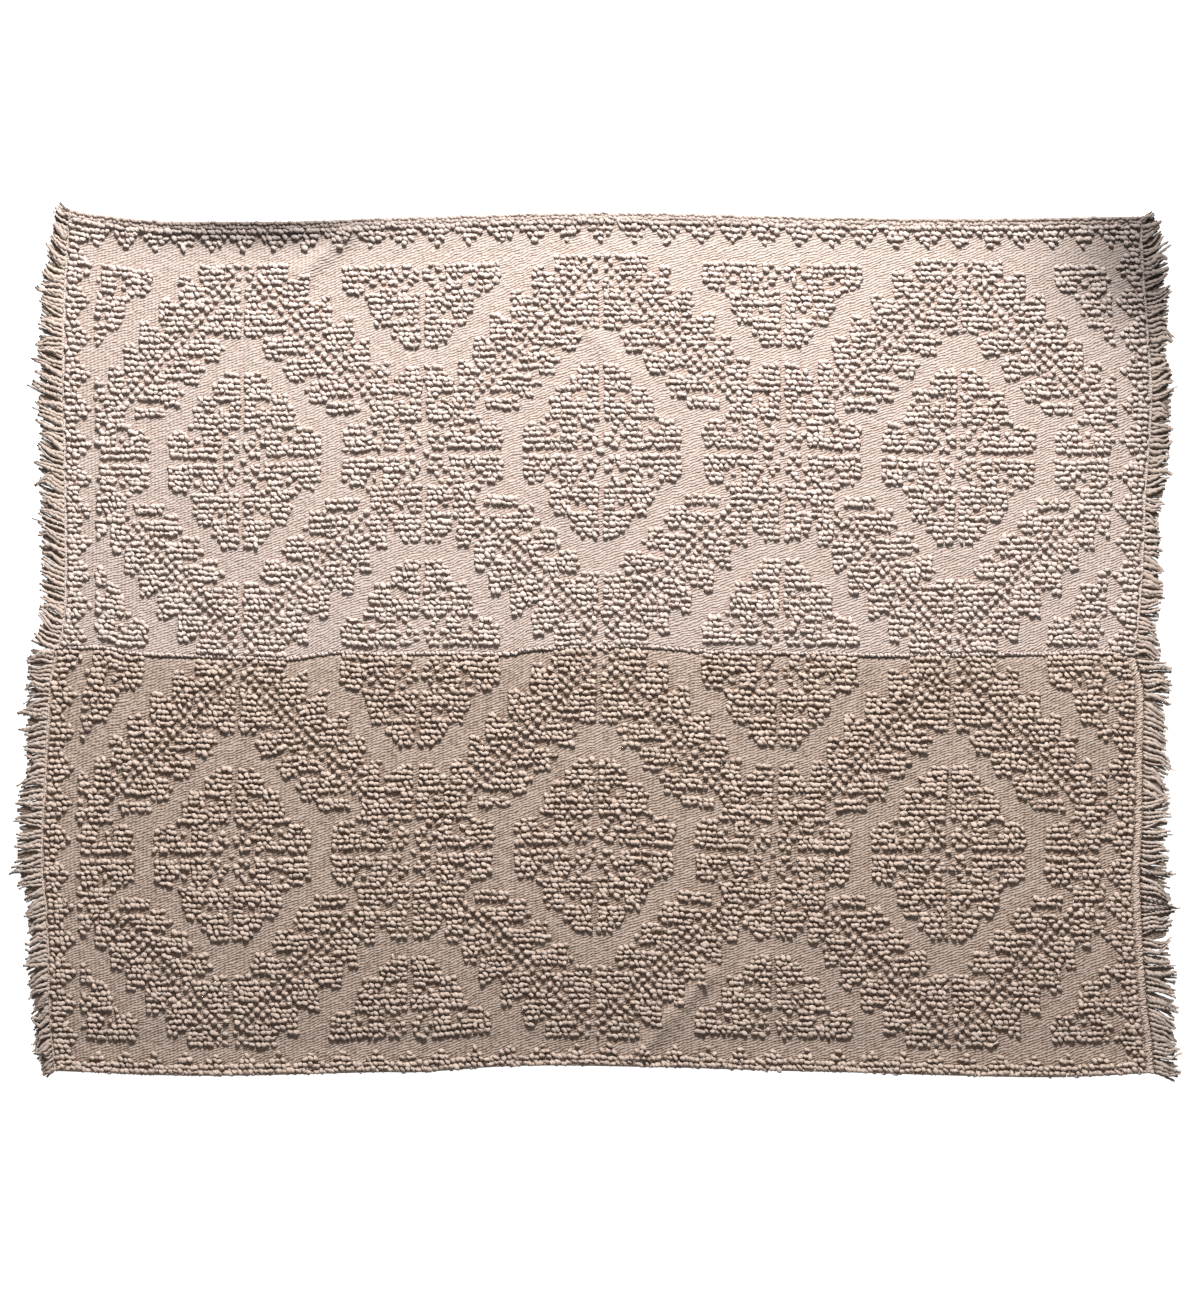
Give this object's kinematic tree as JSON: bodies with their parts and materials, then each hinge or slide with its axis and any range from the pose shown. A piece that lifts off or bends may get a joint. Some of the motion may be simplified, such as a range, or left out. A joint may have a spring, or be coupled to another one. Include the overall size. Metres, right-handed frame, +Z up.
{
  "type": "handwoven wool rug",
  "caption": "Flat rectangular wool rug of two woven panels sewn edge to edge, with raised looped motifs and a cut fringe at both ends.",
  "frame": {"origin": "on the floor under the middle of the rug's box, fringe included", "axes": "+X along the rug's length to its right-hand fringe, +Y across its width to the brighter upper panel, +Z up through the cloth"},
  "size_m": [1.6396, 1.2218, 0.0157],
  "materials": {
    "panel_upper": "undyed beige wool, matt",
    "panel_lower": "undyed beige wool, matt, a shade warmer",
    "fringe": "cut ends of wool warp yarn, matt"
  },
  "bodies": {
    "root": {"panel_upper": "panel_upper", "panel_lower": "panel_lower", "fringe_upper_left": "fringe", "fringe_upper_right": "fringe", "fringe_lower_left": "fringe", "fringe_lower_right": "fringe"}
  },
  "joints": []
}
